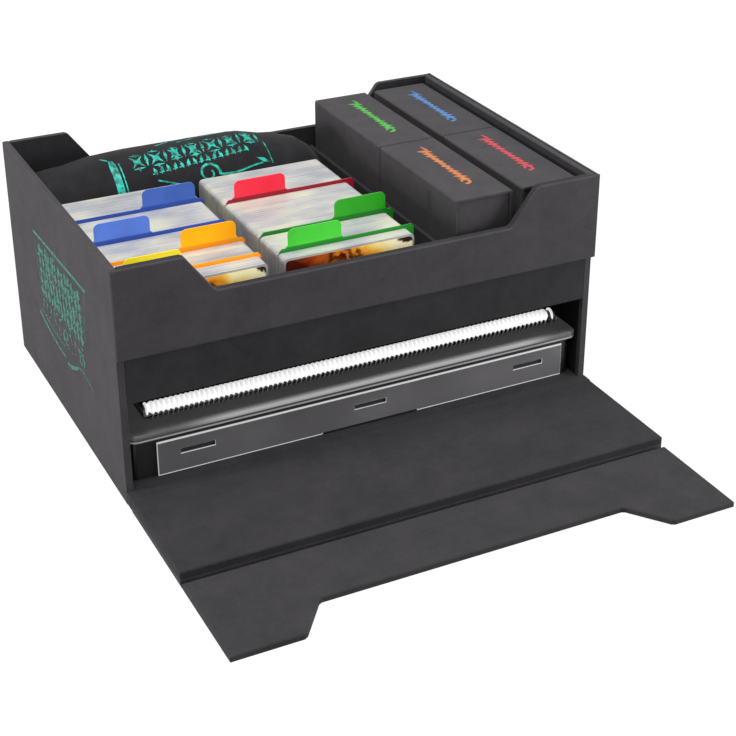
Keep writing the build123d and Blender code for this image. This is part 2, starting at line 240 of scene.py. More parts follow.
def makeSuede(name, dark, light, lining=None, wellShade=None):
    material = newMaterial(name, {
        "Roughness": 0.92, "Specular IOR Level": 0.1, "Sheen Weight": 0.04, "Sheen Roughness": 0.45})
    place = addNode(material, "TexCoord").outputs["Object"]
    patch = addNode(material, "TexNoise", {
        "Vector": place, "Scale": 1 / (suede["patch"] * mm), "Detail": 2.0, "Roughness": 0.6})
    smudge = addNode(material, "TexNoise", {
        "Vector": place, "Scale": 1 / (suede["smudge"] * mm), "Detail": 3.0, "Distortion": 0.6})
    nap = addNode(material, "TexNoise", {
        "Vector": place, "Scale": 1 / (suede["nap"] * mm), "Detail": 2.0})
    broad = addNode(material, "Mix", {
        0: suede["smudgeShare"], 2: patch.outputs["Fac"], 3: smudge.outputs["Fac"]}, data_type="FLOAT")
    fine = addNode(material, "Mix", {
        0: suede["napShare"], 2: broad.outputs[0], 3: nap.outputs["Fac"]}, data_type="FLOAT")
    shade = addNode(material, "ValToRGB", {"Fac": fine.outputs[0]}, list(zip(suede["span"], (dark, light))))
    colour = shade.outputs["Color"]
    if lining:
        # the same board turns to the darker lining on the faces that look into the box
        low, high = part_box("mid_shelf")
        beyondX, beyondY = [
            isBeyond(material, axis, (start + end) / 2, (end - start) / 2 + suede["margin"] * mm)
            for axis, start, end in (("X", low.x, high.x), ("Y", low.y, high.y))]
        outside = addNode(material, "Math", {0: beyondX, 1: beyondY}, operation="MAXIMUM")
        lined = addNode(material, "ValToRGB", {"Fac": fine.outputs[0]}, list(zip(suede["span"], lining)))
        # and to painted shade, near black, on the faces under the shelf, where the drawer runs
        below = addNode(material, "Math", {0: placeAlong(material, "Z"), 1: low.z}, operation="LESS_THAN")
        shadedWell = addNode(material, "Mix", {
            0: below.outputs[0], 6: lined.outputs["Color"], 7: wellShade}, data_type="RGBA")
        colour = addNode(material, "Mix", {
            0: outside.outputs[0], 6: shadedWell.outputs[2], 7: colour}, data_type="RGBA").outputs[2]
    feed(material, "Base Color", colour)
    bump = addNode(material, "Bump", {
        "Height": nap.outputs["Fac"], "Strength": 0.5, "Distance": suede["napDepth"] * mm})
    feed(material, "Normal", bump.outputs["Normal"])
    return material


liningTones = ("#343335", "#403e41")
# the last tone is painted shade for the faces that look into the box under the shelf
boxSuede = makeSuede("boxMicrofibreSuede", "#484648", "#545154", liningTones, "#131214")
liningSuede = makeSuede("liningMicrofibreSuede", *liningTones)
tipSuede = makeSuede("flapTipMicrofibreSuede", "#3a393b", "#464447")
deckSuede = makeSuede("deckMicrofibreSuede", "#4b494b", "#575457")

# hidden bar magnets: nickel-plated steel, ground smooth
steelGrit = {"size": 0.6, "depth": 0.05}
magnetSteel = newMaterial("nickelPlatedSteel", {
    "Base Color": "#b9b8b4", "Metallic": 1.0, "Roughness": 0.28})
steelPlace = addNode(magnetSteel, "TexCoord").outputs["Object"]
steelGrain = addNode(magnetSteel, "TexNoise", {
    "Vector": steelPlace, "Scale": 1 / (steelGrit["size"] * mm)})
steelBump = addNode(magnetSteel, "Bump", {
    "Height": steelGrain.outputs["Fac"], "Strength": 0.15, "Distance": steelGrit["depth"] * mm})
feed(magnetSteel, "Normal", steelBump.outputs["Normal"])


# clear and moulded plastics

def repaint(material, mask, under=None, over=None):
    # the surface keeps its tone on one side of the mask and takes another on the other
    own = surfaceOf(material).inputs["Base Color"].links[0].from_socket
    mixed = addNode(material, "Mix", {0: mask, 6: under or own, 7: over or own}, data_type="RGBA")
    feed(material, "Base Color", mixed.outputs[2])
    return mixed.outputs[2]


def paintGlow(material, mask, glow, haze=0.0):
    # painted light: a white glow, as strong as the mask
    strength = addNode(material, "Math", {0: mask, 1: glow, 2: haze}, operation="MULTIPLY_ADD")
    feed(material, "Emission Color", "#ffffff")
    feed(material, "Emission Strength", strength.outputs[0])


# smoked PET lid: dark and clear; a painted highlight with a painted glow lies on its front edge and the
# sheet just behind it, and a faint painted glow covers the rest
lidPaintedHighlight = {
    "tone": "#b3b1b4",
    "fadeIn": (-138, -84),  # the pale stretch comes and goes between these places, mm
    "fadeOut": (150, 112),
    "rest": -0.3,  # how little of it is left outside them
    "behind": 6.5,  # it starts this far behind the front face
    "beyond": 2.0,  # and would be full this far before it
    "below": (2.8, 1.9),  # and it ends between these depths under the top
    "glow": 0.14,
    "haze": 0.03,
}
lidPet = makeClouded("smokedPetSheet", {
    "Roughness": 0.24, "IOR": 1.57, "Specular IOR Level": 0.3}, "#373638", "#444346", 60, 0.05)
lidLow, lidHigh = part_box("drawer_lid")
lidRim = maskAlong(lidPet, "Y", lidLow.y + lidPaintedHighlight["behind"] * mm, lidLow.y - lidPaintedHighlight["beyond"] * mm)
lidLeft, lidRight = [
    maskAlong(lidPet, "X", *(x * mm for x in lidPaintedHighlight[end])) for end in ("fadeIn", "fadeOut")]
lidMiddle = addNode(lidPet, "Math", {0: lidLeft, 1: lidRight}, operation="MULTIPLY")
lidShare = addNode(lidPet, "MapRange", {"Value": lidMiddle.outputs[0], 1: lidPaintedHighlight["rest"]},
                   interpolation_type="SMOOTHSTEP")
lidUpper = maskAlong(lidPet, "Z", *(lidHigh.z - depth * mm for depth in lidPaintedHighlight["below"]))
lidFace = addNode(lidPet, "Math", {0: lidRim, 1: lidShare.outputs[0]}, operation="MULTIPLY")
lidHighlightMask = addNode(lidPet, "Math", {0: lidFace.outputs[0], 1: lidUpper}, operation="MULTIPLY")
# painted highlight and painted glow along the front edge of the lid
repaint(lidPet, lidHighlightMask.outputs[0], over=lidPaintedHighlight["tone"])
paintGlow(lidPet, lidHighlightMask.outputs[0], lidPaintedHighlight["glow"], lidPaintedHighlight["haze"])

# its rolled lip is pale and carries a painted glow, but for the top, which takes painted shade for the shade
# of the lid
lipShadeAndGlow = {"shade": "#3c3b3e", "shaded": (0.5, 0.9), "glow": 0.12}
lipPet = makeClouded("smokedPetLip", {
    "Roughness": 0.22, "IOR": 1.57, "Specular IOR Level": 0.5}, "#8c8a8d", "#9f9da0", 40)
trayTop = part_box("drawer_tray")[1].z
lipLower = maskAlong(lipPet, "Z", *(trayTop - depth * mm for depth in lipShadeAndGlow["shaded"]))
# painted shade on the top of the lip, painted glow below it
repaint(lipPet, lipLower, under=lipShadeAndGlow["shade"])
paintGlow(lipPet, lipLower, lipShadeAndGlow["glow"])
trayPlastic = makeClouded("blackMouldedPolystyrene", {
    "Roughness": 0.42, "IOR": 1.59}, "#0f0f10", "#161617", 12)

# white PVC filament: a painted glow on the crowded tops of the loops, painted shade that turns their
# undersides grey
coilShadeAndGlow = {"between": (0.5, 0.68), "shade": "#8d8d8b", "glow": 0.62}
coilPlastic = makeClouded("whitePvcFilament", {"Roughness": 0.3, "IOR": 1.53}, "#f4f4f2", "#ffffff", 20)
coilLow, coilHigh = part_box("album_coil")
coilTop = maskAlong(coilPlastic, "Z", *(
    coilLow.z + share * (coilHigh.z - coilLow.z) for share in coilShadeAndGlow["between"]))
# painted shade under the loops, painted glow over their tops
repaint(coilPlastic, coilTop, under=coilShadeAndGlow["shade"])
paintGlow(coilPlastic, coilTop, coilShadeAndGlow["glow"])

coverPlastic = makeClouded("blackPolypropyleneCover", {
    "Roughness": 0.38, "IOR": 1.49}, "#171718", "#222123", 9, 0.1)
pageFilm = makeClouded("clearPocketPages", {
    "Roughness": 0.22, "IOR": 1.49, "Transmission Weight": 0.25}, "#77777a", "#a5a6a9", 30, 0.1)

# front plate: smoked PET with a painted highlight and painted glow along its cut edges and its upper and
# lower rim, but for the stretch that stands against the floor between the ends of the finger notch
platePaintedHighlight = {
    "tone": "#cccbcf",
    "glow": 0.34,
    "facing": 0.95,  # a face that looks less than this towards the front is a cut edge
    "notch": 35.2,  # half the dim stretch, mm
    "dimBelow": 2.2,
    "near": 0.8,  # only the front of an edge is bright
    "rim": 1.0,
}
platePet = makeClouded("smokedPetPlate", {
    "Roughness": 0.3, "IOR": 1.57, "Specular IOR Level": 0.4}, "#6f6d70", "#807e82", 70)
plateLow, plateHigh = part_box("drawer_front_plate")
plateMiddle = (plateLow + plateHigh) / 2
plateNormal = addNode(platePet, "SeparateXYZ", {0: addNode(platePet, "NewGeometry").outputs["Normal"]})
plateFacing = addNode(platePet, "Math", {0: plateNormal.outputs["Y"]}, operation="ABSOLUTE")
plateCut = addNode(platePet, "Math", {0: plateFacing.outputs[0], 1: platePaintedHighlight["facing"]},
                   operation="LESS_THAN")
plateRim = isBeyond(platePet, "Z", plateMiddle.z,
                    (plateHigh.z - plateLow.z) / 2 - platePaintedHighlight["rim"] * mm)
plateLine = addNode(platePet, "Math", {0: plateCut.outputs[0], 1: plateRim}, operation="MAXIMUM")
plateOutside = isBeyond(platePet, "X", plateMiddle.x, platePaintedHighlight["notch"] * mm)
plateAbove = addNode(platePet, "Math", {
    0: placeAlong(platePet, "Z"), 1: plateLow.z + platePaintedHighlight["dimBelow"] * mm}, operation="GREATER_THAN")
plateClear = addNode(platePet, "Math", {0: plateOutside, 1: plateAbove.outputs[0]}, operation="MAXIMUM")
plateNear = addNode(platePet, "Math", {
    0: placeAlong(platePet, "Y"), 1: plateLow.y + platePaintedHighlight["near"] * mm}, operation="LESS_THAN")
plateShown = addNode(platePet, "Math", {
    0: plateClear.outputs[0], 1: plateNear.outputs[0]}, operation="MULTIPLY")
plateHighlightMask = addNode(platePet, "Math", {
    0: plateLine.outputs[0], 1: plateShown.outputs[0]}, operation="MULTIPLY")
# painted highlight and painted glow on the front of the cut edges and rims
repaint(platePet, plateHighlightMask.outputs[0], over=platePaintedHighlight["tone"])
paintGlow(platePet, plateHighlightMask.outputs[0], platePaintedHighlight["glow"])

# extruded polypropylene: satin, with a painted glow that lifts its colour; each entry gives a name, a dark
# and a light tone, and the painted shade at the foot of the sheet
dividers = {
    "left_divider_1": ("deepBlue", "#3858a6", "#4467ba", "#2b4798"),
    "left_divider_2": ("skyBlue", "#4a70cc", "#5a80de", "#2c4ba2"),
    "left_divider_3": ("amber", "#f7a500", "#ffb600", "#e88c08"),
    "left_divider_4": ("sunYellow", "#f6dc20", "#fdea48", "#f29a14"),
    "right_divider_1": ("red", "#e8203a", "#f53048", "#94182e"),
    "right_divider_2": ("leafGreen", "#238f18", "#2ea022", "#17701c"),
    "right_divider_3": ("grassGreen", "#3ab42c", "#46c638", "#1d7c22"),
}
dividerShadeAndGlow = {
    "tab": 12.8,  # the tab stands this far over the sheet, mm
    "between": (0.2, 1.4),
    "glow": 0.42,
}


def makeDividerPlastic(node, name, dark, light, foot):
    material = makeClouded(name + "Polypropylene", {
        "Roughness": 0.34, "IOR": 1.49, "Specular IOR Level": 0.3,
        "Emission Strength": dividerShadeAndGlow["glow"]}, dark, light, 35, 0.04)
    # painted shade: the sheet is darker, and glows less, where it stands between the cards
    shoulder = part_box(node)[1].z - dividerShadeAndGlow["tab"] * mm
    upper = maskAlong(material, "Z", *(shoulder + rise * mm for rise in dividerShadeAndGlow["between"]))
    feed(material, "Emission Color", repaint(material, upper, under=foot))
    return material


# the CAD nodes keep their shapes: a finish each, and edges as round as wrapped board

boardEdges = {"width": 0.35, "segments": 3, "angle": 30, "weld": 0.01}


def dress(node, material, width=boardEdges["width"], segments=boardEdges["segments"]):
    target = nodes[node]
    target.data.materials.clear()
    target.data.materials.append(material)
    weld = target.modifiers.new("weld", "WELD")
    weld.merge_threshold = boardEdges["weld"] * mm
    bevel = target.modifiers.new("edge", "BEVEL")
    bevel.width = width * mm
    bevel.segments = segments
    bevel.limit_method = "ANGLE"
    bevel.angle_limit = math.radians(boardEdges["angle"])


for node in ("left_wall", "right_wall", "back_wall", "base_board", "front_band", "right_band",
             "flap_outer_board"):
    dress(node, boxSuede)
for node in ("front_wall", "floor_board", "mid_shelf", "deck_partition", "card_partition",
             "hinge_spine", "flap_inner_board", "crease_strip"):
    dress(node, liningSuede)
dress("flap_tip", tipSuede)
for tone in ("green", "orange", "blue", "red"):
    dress(tone + "_deck_body", deckSuede, 0.5)
    dress(tone + "_deck_cover", deckSuede, 0.6)
for node in ("wall_magnets", "tip_magnets"):
    dress(node, magnetSteel, 0.3)
dress("drawer_tray", trayPlastic, 0.3)
dress("drawer_lid", lidPet, 0.4, 4)
dress("drawer_front_plate", platePet, 0.15, 2)
for node, plastic in dividers.items():
    dress(node, makeDividerPlastic(node, *plastic), 0.15, 2)
print("CAD nodes dressed")


# hinge: the suede runs on from the box floor to the flap, with a slack fold under it

hingeCloth = {"gap": 0.05, "proud": 0.06, "low": 0.3, "corner": 0.6, "cloth": 0.4, "keep": 0.036}


def makeHingeCloth():
    spineLow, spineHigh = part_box("hinge_spine")
    front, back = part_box("flap_inner_board")[1].y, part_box("floor_board")[0].y
    gap = hingeCloth["gap"] * mm
    low = Vector((spineLow.x + gap, front + gap, hingeCloth["low"] * mm))
    high = Vector((spineHigh.x - gap, back - gap, spineHigh.z + hingeCloth["proud"] * mm))
    size = high - low
    bm = bmesh.new()
    addBox(bm, (low + high) / 2, size)
    roundOff(bm, bm.edges[:], hingeCloth["corner"], 3)
    area = sum(f.calc_area() for f in bm.faces)
    bmesh.ops.solidify(bm, geom=bm.faces[:], thickness=hingeCloth["cloth"] * mm)
    piece = newPiece("hingeCloth", bm, liningSuede, bodyOf("hinge_spine"), True)
    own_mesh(piece)


makeHingeCloth()


# crease: a strip glued over the CAD one, so that no light shows between panel and tip

creaseLining = {"gap": 0.08, "thick": 0.25, "side": 0.05}


def makeCreaseLining():
    stripLow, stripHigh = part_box("crease_strip")
    gap = creaseLining["gap"] * mm
    inset = Vector((creaseLining["side"] * mm, 0, 0))
    low = Vector((stripLow.x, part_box("flap_tip")[1].y + gap, stripHigh.z)) + inset
    high = Vector((stripHigh.x, stripHigh.y - gap, stripHigh.z + creaseLining["thick"] * mm)) - inset
    bm = bmesh.new()
    addBox(bm, (low + high) / 2, high - low)
    newPiece("creaseLining", bm, liningSuede, bodyOf("crease_strip"))


makeCreaseLining()


# rolled lip under the rim of the drawer lid

lidLip = {
    "inset": 0.15,
    "wide": 1.4,
    "tall": 2.1,
    "corner": 5.9,
    "round": 0.4,
    "sharp": 1.2,  # edges that turn more than this are rounded, radians
    "level": 0.01,  # if both ends are as high within this, mm
}


def makeLidLip():
    inset = lidLip["inset"] * mm
    bm = bmesh.new()
    bmesh.ops.create_grid(bm, x_segments=1, y_segments=1, size=0.5)
    bmesh.ops.scale(bm, verts=bm.verts, vec=(
        lidHigh.x - lidLow.x - 2 * inset, lidHigh.y - lidLow.y - 2 * inset, 1))
    bmesh.ops.translate(bm, verts=bm.verts, vec=(
        (lidLow.x + lidHigh.x) / 2, (lidLow.y + lidHigh.y) / 2, trayTop))
    roundOff(bm, bm.verts[:], lidLip["corner"], 6, "VERTICES")
    middle = bm.faces[:]
    bmesh.ops.inset_individual(bm, faces=middle, thickness=lidLip["wide"] * mm, use_even_offset=True)
    bmesh.ops.delete(bm, geom=middle, context="FACES")
    drawn = bmesh.ops.extrude_face_region(bm, geom=bm.faces[:])["geom"]
    bmesh.ops.translate(bm, verts=vertsOf(drawn), vec=(0, 0, -lidLip["tall"] * mm))
    bmesh.ops.recalc_face_normals(bm, faces=bm.faces)
    rims = [e for e in bm.edges
            if len(e.link_faces) == 2 and e.calc_face_angle() > lidLip["sharp"]
            and abs(e.verts[0].co.z - e.verts[1].co.z) < lidLip["level"] * mm]
    roundOff(bm, rims, lidLip["round"], 2)
    newPiece("lidLip", bm, lipPet, bodyOf("drawer_lid"))


makeLidLip()
print("hinge and lid lip made")


# album: the leaves and the plastic coil that binds them

album = {
    "loops": 88,  # turns of the coil
    "perTurn": 18,  # points in a turn
    "wire": 0.95,  # filament where it passes through the leaves, mm
    "crown": 5.6,  # and flattened wide over the top of each loop, mm
    "crownFrom": (6, 24),  # the crown swells between these degrees up from the foremost point
    "crownTo": (168, 150),
    "rise": 0.6,  # the loops stand this much wider than the plain coil, mm
    "startGap": 0.15,  # the free first and last loops stand this many pitches off
    "endGap": 0.6,
    "startStep": 0.65,  # the steps to them start at these turns, counted from either end
    "endStep": -1.35,
    "step": 0.25,
    "startFree": 0.8,  # the free loops end and start here, and keep this much of the crown
    "endFree": -1.2,
    "freeCrown": 0.2,
    "strip": 2.1,  # mm, by which a pitch is longer than the strips in the row of the coil
    "rowFront": 1.2,  # that row starts this far behind the middle of the coil, mm
    "pageCount": 8,
    "pageGap": 0.12,
    "pageSkew": (0.25, 0.3),
    "cornerRadius": 5.0,
}
coilY = (coilLow.y + coilHigh.y) / 2
coilRadius = (coilHigh.z - coilLow.z) / 2 + album["rise"] * mm
coilZ = coilLow.z + coilRadius
coilPitch = (coilHigh.x - coilLow.x - album["wire"] * mm) / (
    album["loops"] + album["startGap"] + album["endGap"])


def coilPoint(turn):
    # a place on the coil and how much the filament swells there
    fromEnd = turn - album["loops"]
    # the step to each free end loop is taken under the coil
    first = riseShare(turn, album["startStep"], album["step"])
    last = riseShare(fromEnd, album["endStep"], album["step"])
    along = coilPitch * (turn + album["startGap"] * first + album["endGap"] * last)
    degrees = 360 * turn % 360
    crown = smoothStep(degrees, *album["crownFrom"]) * smoothStep(degrees, *album["crownTo"])
    if turn < album["startFree"] or fromEnd > album["endFree"]:
        crown *= album["freeCrown"]
    wide = album["wire"] + (album["crown"] - album["wire"]) * crown
    reach = coilRadius - wide * mm / 2
    place = (coilLow.x + album["wire"] * mm / 2 + along,
             coilY - reach * math.cos(math.radians(degrees)),
             coilZ + reach * math.sin(math.radians(degrees)))
    return place, wide / album["wire"]


def makeCoil():
    points = [coilPoint(n / album["perTurn"]) for n in range(album["loops"] * album["perTurn"] + 1)]
    piece = newFilament("albumCoil", points, album["wire"] * mm / 2, 2, coilPlastic,
                        bodyOf("album_coil"))
    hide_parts("album_coil")


def makeLeaves(name, node, sheets, gap, material):
    # each leaf is a grid of three rows, given its thickness. In the middle row, under the coil,
    # neighbouring strips run over each other, and no slots are cut
    low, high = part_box(node)
    rng = random.Random(node)
    columns = 2 * album["loops"] - 1
    middle = (coilLow.x + coilHigh.x) / 2
    overlap = (coilPitch - album["strip"] * mm) / 2
    rows = (low.y, coilY + album["rowFront"] * mm, coilY + coilRadius + album["wire"] * mm, high.y)
    skewX, skewY = album["pageSkew"]
    bm = bmesh.new()
    for sheet in range(sheets):
        part = bmesh.ops.create_grid(bm, x_segments=columns, y_segments=3, size=0.5)
        z = low.z + (high.z - low.z) * (sheet + 1) / sheets
        skew = Vector()
        if sheets > 1:
            skew = Vector((rng.uniform(-skewX, skewX), rng.uniform(-skewY, 0), 0)) * mm
        for vert in part["verts"]:
            column = round((vert.co.x + 0.5) * columns)
            row = round((vert.co.y + 0.5) * 3)
            side = -1 if column % 2 == 0 else 1
            x = middle + ((column + 1) // 2 - album["loops"] / 2) * coilPitch + side * overlap
            if column == 0:
                x = low.x
            if column == columns:
                x = high.x
            vert.co = Vector((x, rows[row], z)) + skew
    corners = [v for v in bm.verts if v.co.y > high.y - 1 * mm and len(v.link_edges) == 2]
    roundOff(bm, corners, album["cornerRadius"], 4, "VERTICES")
    bmesh.ops.recalc_face_normals(bm, faces=bm.faces)
    for face in bm.faces:
        face.normal_update()
    bmesh.ops.reverse_faces(bm, faces=[f for f in bm.faces if f.normal.z < 0])
    bmesh.ops.solidify(bm, geom=bm.faces[:], thickness=(high.z - low.z) / sheets - gap * mm)
    bmesh.ops.recalc_face_normals(bm, faces=bm.faces)
    piece = newPiece(name, bm, material, bodyOf(node))
    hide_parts(node)


makeCoil()
makeLeaves("albumFrontCover", "album_front_cover", 1, 0, coverPlastic)
makeLeaves("albumPages", "album_pages", album["pageCount"], album["pageGap"], pageFilm)
makeLeaves("albumBackCover", "album_back_cover", 1, 0, coverPlastic)
print("album bound:", album["loops"], "loops")


# rolled mat: a cloth-faced rubber sheet wound in half turns about two centres

mat = {
    "thickness": 2.4,
    "turnPitch": 3.2,
    "halfTurns": 9,
    "depth": 72.0,
    "stretch": 9.6,  # the roll stands taller than it is deep
    "steps": 18,  # segments in a half turn
    "cuts": 23,  # and cuts along the roll
    "merge": 0.02,
    "rim": 0.01,  # the cloth's side edges lie this close to its ends
    "hem": 1.35,  # radius of the overlocked edge
    "short": 14.0,  # the cloth ends this far short of the right partition
    # the loose roll slumps towards both ends: mm along the box, mm lower
    "slump": ((-162, 8), (-140, 5.5), (-112, 1), (-90, 0), (-12, 0), (20, 6), (36, 11.5), (48, 19)),
}
matLow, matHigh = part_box("mat_roll")
matHigh = matHigh - Vector((mat["short"] * mm, 0, 0))
matRadius = (mat["depth"] / 2) * mm
matStep = mat["turnPitch"] * mm / 2
matUpper = Vector((0, matHigh.y - matRadius, matHigh.z - matRadius))
matLower = matUpper - Vector((0, matStep, mat["stretch"] * mm))

# cloth face of the mat: knitted polyester, matt black with a faint thread grid
matCloth = makeClouded("knittedPolyester", {
    "Roughness": 0.8, "Specular IOR Level": 0.2, "Sheen Weight": 0.03, "Sheen Roughness": 0.4},
    "#1b1b1d", "#27272a", 14)
matThread = addNode(matCloth, "TexWave", {
    "Vector": addNode(matCloth, "TexCoord").outputs["Object"],
    "Scale": 1 / (1.4 * mm) / 6.283, "Distortion": 0.4}, bands_direction="X")
matBump = addNode(matCloth, "Bump", {
    "Height": matThread.outputs["Fac"], "Strength": 0.25, "Distance": 0.15 * mm})
feed(matCloth, "Normal", matBump.outputs["Normal"])


def sagMat(verts):
    # where the roll is slack its height shrinks towards the shelf
    for vert in verts:
        drop = 0
        for (start, low), (end, high) in zip(mat["slump"], mat["slump"][1:]):
            drop += (high - low) * smoothStep(vert.co.x / mm, start, end)
        drop = (mat["slump"][0][1] + drop) * mm
        vert.co.z -= drop * (vert.co.z - matLow.z) / (matHigh.z - matLow.z)


def windMat(bm, row, radiusDrop):
    # the row of edges is spun half a turn, drawn straight, and spun about the other centre
    centres = (matUpper, matLower)
    length = 0
    radius = matRadius - radiusDrop
    for index in range(mat["halfTurns"]):
        turned = bmesh.ops.spin(bm, geom=row, cent=centres[index % 2], axis=(1, 0, 0), angle=math.pi,
                                steps=mat["steps"], use_merge=False, use_duplicate=False)
        length += math.pi * (radius - index * matStep)
        if index < mat["halfTurns"] - 1:
            row = bmesh.ops.extrude_edge_only(bm, edges=edgesOf(turned["geom_last"]))["geom"]
            moved = vertsOf(row)
            way = -1 if index % 2 == 0 else 1
            bmesh.ops.translate(bm, verts=moved, vec=(0, 0, way * mat["stretch"] * mm))
            row = moved + [e for e in edgesOf(row) if all(v in moved for v in e.verts)]
            length += mat["stretch"] * mm
    return length


def orderedPoints(edges):
    # the vertices of an open chain of edges, from its outer end inwards
    ends = [v for e in edges for v in e.verts if sum(v in x.verts for x in edges) == 1]
    vert = max(ends, key=lambda v: v.co.y)
    left = set(edges)
    points = [vert.co.copy()]
    while left:
        step = next((e for e in vert.link_edges if e in left), None)
        if step is None:
            break
        left.discard(step)
        vert = step.other_vert(vert)
        points.append(vert.co.copy())
    return points


def makeHem(name, points):
    return newFilament(name, [(place, 1) for place in points], mat["hem"] * mm, 1, matCloth,
                       bodyOf("mat_roll"))


def makeMat():
    bm = bmesh.new()
    half = mat["thickness"] * mm / 2
    inset = mat["hem"] * mm
    sides = (matLow.x + inset, matHigh.x - inset)
    start = matUpper + Vector((0, matRadius - half, 0))
    edge = bm.edges.new([bm.verts.new(Vector((x, start.y, start.z))) for x in sides])
    bmesh.ops.subdivide_edges(bm, edges=[edge], cuts=mat["cuts"])
    length = windMat(bm, bm.verts[:] + bm.edges[:], half)
    bmesh.ops.remove_doubles(bm, verts=bm.verts, dist=mat["merge"] * mm)
    sagMat(bm.verts)
    hems = [orderedPoints([e for e in bm.edges if all(abs(v.co.x - x) < mat["rim"] * mm for v in e.verts)])
            for x in sides]
    bmesh.ops.recalc_face_normals(bm, faces=bm.faces)
    roll = newPiece("matRoll", bm, matCloth, bodyOf("mat_roll"), True)
    solid = roll.modifiers.new("thickness", "SOLIDIFY")
    solid.thickness = mat["thickness"] * mm
    solid.offset = 0
    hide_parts("mat_roll")
    stitched = [makeHem("matHem" + side, points) for side, points in zip(("Left", "Right"), hems)]


makeMat()


# sleeved cards: stacks of thin sheets, each a little off its neighbours

cards = {
    "pitch": 0.66,  # one sleeved card, mm
    "sheet": 0.64,
    "corner": 3.0,
    "raise": 0.16,  # how far tops stand off each other
    "below": 1.0,  # the sleeves end this far under the top of the CAD block
    "shift": 0.35,
}

# polypropylene sleeve over printed board: milky, each card a slightly different tone
sleeve = {"clouds": (38, 20, 22), "cloudShare": 0.86}
sleeveFilm = newMaterial("milkyCardSleeve", {
    "Roughness": 0.34, "IOR": 1.49, "Specular IOR Level": 0.35})
filmTint = addNode(sleeveFilm, "Attribute", attribute_name="tint").outputs["Fac"]
filmPlace = addNode(sleeveFilm, "TexCoord").outputs["Object"]
filmRow = addNode(sleeveFilm, "Mapping", {
    "Vector": filmPlace, "Scale": [1 / size for size in sleeve["clouds"]]})
filmCloud = addNode(sleeveFilm, "TexNoise", {
    "Vector": filmRow.outputs["Vector"], "Scale": 1 / mm, "Detail": 2.0})
filmMix = addNode(sleeveFilm, "Mix", {
    0: sleeve["cloudShare"], 2: filmTint, 3: filmCloud.outputs["Fac"]}, data_type="FLOAT")
filmShade = addNode(sleeveFilm, "ValToRGB", {"Fac": filmMix.outputs[0]}, [
    (0.34, "#b2b5bb"), (0.44, "#c3c5c8"), (0.5, "#cfcdcb"), (0.58, "#dcdccc"), (0.68, "#e4e5d2")])
feed(sleeveFilm, "Base Color", filmShade.outputs["Color"])

# the front card of each column: a print of plain colour fields, from ember to cream, lifted by a painted
# glow
frontCard = {
    "side": 3.0,  # narrower than the stack, mm
    "top": 2.6,
    "thick": 0.12,
    "behind": -0.1,  # from the face of the stack
    "foot": 1.0,
    "corner": 2.5,
    "blot": 14,  # mm
    "wander": 0.1,  # what the blots move the fields by, as a share of the width
    "lean": -0.9,  # and what the height does, from top to foot
    "glow": 0.36,
}
cardFields = [
    (0.0, "#4a160c"), (0.1, "#8f3416"), (0.22, "#b5541f"), (0.3, "#1d0f0c"), (0.36, "#e0771f"),
    (0.42, "#2a1510"), (0.48, "#f2982a"), (0.6, "#ffd05c"), (0.72, "#fff0ae"), (0.86, "#fff8d0"),
    (0.9, "#3a2a18"), (1.0, "#141012")]


def makeCards(node):
    low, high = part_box(node)
    rng = random.Random(node)
    thickness = high.y - low.y
    count = round(thickness / (cards["pitch"] * mm))
    pitch = thickness / count
    width, height = high.x - low.x, high.z - low.z - cards["below"] * mm
    bm = bmesh.new()
    tint = bm.verts.layers.float.new("tint")
    for n in range(count):
        drop = rng.uniform(0, cards["raise"]) * mm
        slack = rng.uniform(0, cards["shift"]) * mm
        shift = rng.uniform(-0.5, 0.5) * slack
        size = Vector((width - slack, cards["sheet"] * mm, height - drop))
        place = Vector(((low.x + high.x) / 2 + shift, low.y + pitch * (n + 0.5), low.z + size.z / 2))
        verts = addBox(bm, place, size)
        shade = rng.random()
        for vert in verts:
            vert[tint] = shade
    corners = [e for e in bm.edges
               if abs(e.verts[0].co.x - e.verts[1].co.x) < 1e-6 and e.calc_length() < 1 * mm
               and e.verts[0].co.z > (low.z + high.z) / 2]
    roundOff(bm, corners, cards["corner"], 3)
    name = "".join(w.capitalize() if i else w for i, w in enumerate(node.split("_")))
    piece = newPiece(name, bm, sleeveFilm, bodyOf(node))
    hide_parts(node)


def makeCardPrint(name, low, high):
    material = newMaterial(name, {
        "Roughness": 0.25, "IOR": 1.49, "Specular IOR Level": 0.3, "Emission Strength": frontCard["glow"]})
    place = addNode(material, "TexCoord").outputs["Object"]
    axes = addNode(material, "SeparateXYZ", {0: place})
    across = addNode(material, "MapRange", {"Value": axes.outputs["X"], 1: low.x, 2: high.x})
    lean = addNode(material, "MapRange", {
        "Value": axes.outputs["Z"], 1: high.z, 2: low.z, 3: 0.0, 4: frontCard["lean"]})
    blot = addNode(material, "TexNoise", {
        "Vector": place, "Scale": 1 / (frontCard["blot"] * mm), "Detail": 3.0, "Distortion": 0.8})
    wander = addNode(material, "MapRange", {
        "Value": blot.outputs["Fac"], 1: 0.3, 2: 0.7, 3: -frontCard["wander"], 4: frontCard["wander"]})
    leaned = addNode(material, "Math", {0: across.outputs[0], 1: lean.outputs[0]})
    field = addNode(material, "Math", {0: leaned.outputs[0], 1: wander.outputs[0]})
    shade = addNode(material, "ValToRGB", {"Fac": field.outputs[0]}, cardFields)
    feed(material, "Base Color", shade.outputs["Color"])
    # painted glow: the print lights itself in its own colours
    feed(material, "Emission Color", shade.outputs["Color"])
    return material


